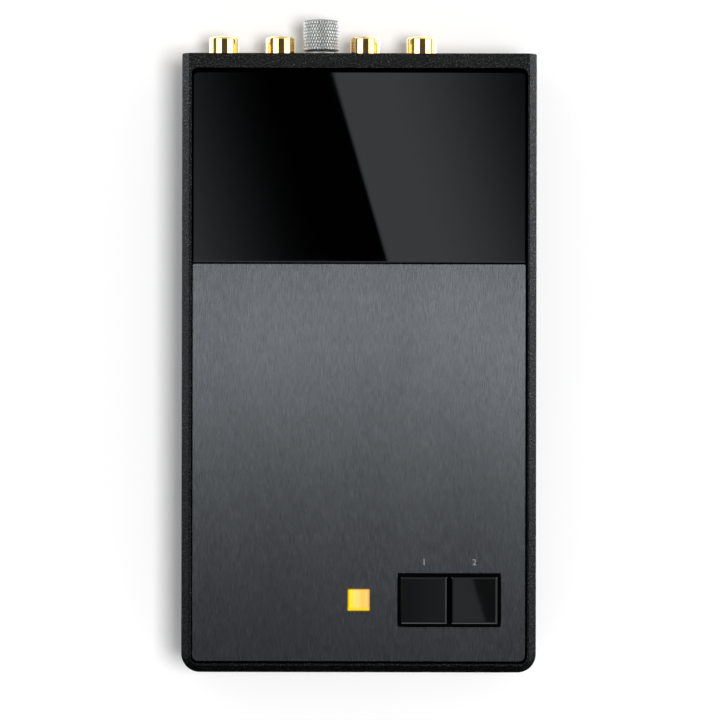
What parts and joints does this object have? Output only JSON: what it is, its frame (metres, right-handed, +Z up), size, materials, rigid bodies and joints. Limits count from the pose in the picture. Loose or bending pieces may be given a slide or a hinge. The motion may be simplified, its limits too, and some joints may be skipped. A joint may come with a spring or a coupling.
{
  "type": "phono preamp",
  "caption": "Flat desktop phono preamp: cast case with glass and brushed top, push buttons, lit indicator, rear jacks, ground terminal and power inlet.",
  "frame": {"origin": "on the table, under the middle of the whole object, jacks and ground terminal included", "axes": "+Y towards the jacks at the rear, +X to the right as seen from the front, +Z up"},
  "size_m": [0.1, 0.1852, 0.0358],
  "materials": {
    "case_coat": "fine matt black powder coat on a cast aluminium shell",
    "cover_coat": "matt black powder coat on sheet aluminium",
    "panel_coat": "matt black coat on sheet aluminium",
    "brushed_plate": "dark anodised, brushed from front to rear",
    "black_glass": "black-backed glass, polished",
    "adhesive": "black foam adhesive sheet",
    "bezel_black": "matt black moulding",
    "button_black": "polished black moulding",
    "lens_amber": "lit amber light pipe",
    "lamp": "square amber lamp",
    "screw_black": "black zinc on steel",
    "screw_steel": "bright zinc on steel",
    "foot_rubber": "soft black rubber",
    "jack_gold": "polished gold plate",
    "contact_gold": "gold plate",
    "jack_insulator": "white in the left jacks, red in the right",
    "jack_moulding": "black moulding",
    "knurled_nickel": "nickel plate, diamond knurl",
    "bright_nickel": "nickel plate",
    "lug_tin": "tin plate",
    "wire_cover": "green wire insulation",
    "board_laminate": "glass laminate with dark solder mask",
    "standoff_steel": "zinc plate",
    "spring_steel": "spring wire",
    "switch_moulding": "black switch housing",
    "plunger_white": "white acetal",
    "selector_moulding": "black selector housing",
    "slider_white": "white slider",
    "can_sleeve": "shrunk sleeve on an aluminium can",
    "film_case": "red capacitor case",
    "chip_epoxy": "moulded epoxy, tinned legs"
  },
  "bodies": {
    "chassis": {"case_shell": "case_coat", "bottom_cover": "cover_coat", "cover_screws": "screw_black", "foot_pads": "foot_rubber", "glass_panel": "black_glass", "top_plate": "brushed_plate", "panel_adhesive": "adhesive", "rear_panel": "panel_coat", "rear_panel_screws": "screw_black", "button_bezel": "bezel_black", "switch_bases": "switch_moulding", "indicator_lens": "lens_amber", "indicator_led": "lamp", "jack_insulators": "jack_insulator", "jack_nuts": "jack_gold", "input_jack_block": "jack_moulding", "output_jack_block": "jack_moulding", "ground_stud": "bright_nickel", "ground_bushing": "bright_nickel", "ground_lock_nut": "bright_nickel", "ground_lug": "lug_tin", "ground_wire": "wire_cover", "power_jack_housing": "jack_moulding", "power_jack_pin": "bright_nickel", "power_jack_contact": "bright_nickel", "main_board": "board_laminate", "board_standoffs": "standoff_steel", "board_screws": "screw_steel", "supply_capacitors": "can_sleeve", "film_capacitors": "film_case", "op_amps": "chip_epoxy", "voltage_regulators": "chip_epoxy", "mono_switch_body": "switch_moulding", "mono_switch_spring": "spring_steel", "filter_switch_body": "switch_moulding", "filter_switch_spring": "spring_steel", "input_left_jack_shell": "jack_gold", "input_left_jack_contact": "contact_gold", "input_right_jack_shell": "jack_gold", "input_right_jack_contact": "contact_gold", "output_left_jack_shell": "jack_gold", "output_left_jack_contact": "contact_gold", "output_right_jack_shell": "jack_gold", "output_right_jack_contact": "contact_gold", "left_selector_housing": "selector_moulding", "right_selector_housing": "selector_moulding"},
    "mono_button": {"mono_button_cap": "button_black", "mono_switch_plunger": "plunger_white"},
    "filter_button": {"filter_button_cap": "button_black", "filter_switch_plunger": "plunger_white"},
    "ground_clamp": {"ground_washer": "bright_nickel"},
    "ground_nut": {"ground_thumb_nut": "knurled_nickel"},
    "left_slider_1": {"left_selector_slider_1": "slider_white"},
    "left_slider_2": {"left_selector_slider_2": "slider_white"},
    "left_slider_3": {"left_selector_slider_3": "slider_white"},
    "left_slider_4": {"left_selector_slider_4": "slider_white"},
    "right_slider_1": {"right_selector_slider_1": "slider_white"},
    "right_slider_2": {"right_selector_slider_2": "slider_white"},
    "right_slider_3": {"right_selector_slider_3": "slider_white"},
    "right_slider_4": {"right_selector_slider_4": "slider_white"}
  },
  "joints": [
    {"name": "mono_button_press", "type": "slide", "parent": "chassis", "child": "mono_button", "axis": [0, 0, -1], "range_m": [0, 0.002], "stiffness_N_per_m": 300, "springref_m": -0.004, "deforming": ["mono_switch_spring"]},
    {"name": "filter_button_press", "type": "slide", "parent": "chassis", "child": "filter_button", "axis": [0, 0, -1], "range_m": [0, 0.002], "stiffness_N_per_m": 300, "springref_m": -0.004, "deforming": ["filter_switch_spring"]},
    {"name": "ground_washer_slide", "type": "slide", "parent": "chassis", "child": "ground_clamp", "axis": [0, 1, 0], "range_m": [0, 0.0049]},
    {"name": "ground_nut_turn", "type": "hinge", "parent": "ground_clamp", "child": "ground_nut", "pos_m": [-0.011, 0.0835, 0.0186], "axis": [0, 1, 0], "range_deg": [0, 2520]},
    {"name": "left_slider_1_slide", "type": "slide", "parent": "chassis", "child": "left_slider_1", "axis": [0, 1, 0], "range_m": [0, 0.0012]},
    {"name": "left_slider_2_slide", "type": "slide", "parent": "chassis", "child": "left_slider_2", "axis": [0, 1, 0], "range_m": [0, 0.0012]},
    {"name": "left_slider_3_slide", "type": "slide", "parent": "chassis", "child": "left_slider_3", "axis": [0, 1, 0], "range_m": [0, 0.0012]},
    {"name": "left_slider_4_slide", "type": "slide", "parent": "chassis", "child": "left_slider_4", "axis": [0, 1, 0], "range_m": [0, 0.0012]},
    {"name": "right_slider_1_slide", "type": "slide", "parent": "chassis", "child": "right_slider_1", "axis": [0, 1, 0], "range_m": [0, 0.0012]},
    {"name": "right_slider_2_slide", "type": "slide", "parent": "chassis", "child": "right_slider_2", "axis": [0, 1, 0], "range_m": [0, 0.0012]},
    {"name": "right_slider_3_slide", "type": "slide", "parent": "chassis", "child": "right_slider_3", "axis": [0, 1, 0], "range_m": [0, 0.0012]},
    {"name": "right_slider_4_slide", "type": "slide", "parent": "chassis", "child": "right_slider_4", "axis": [0, 1, 0], "range_m": [0, 0.0012]}
  ],
  "couplings": [
    {"joint": "ground_nut_turn", "follows": "ground_washer_slide", "rad_per_m": 8976}
  ]
}
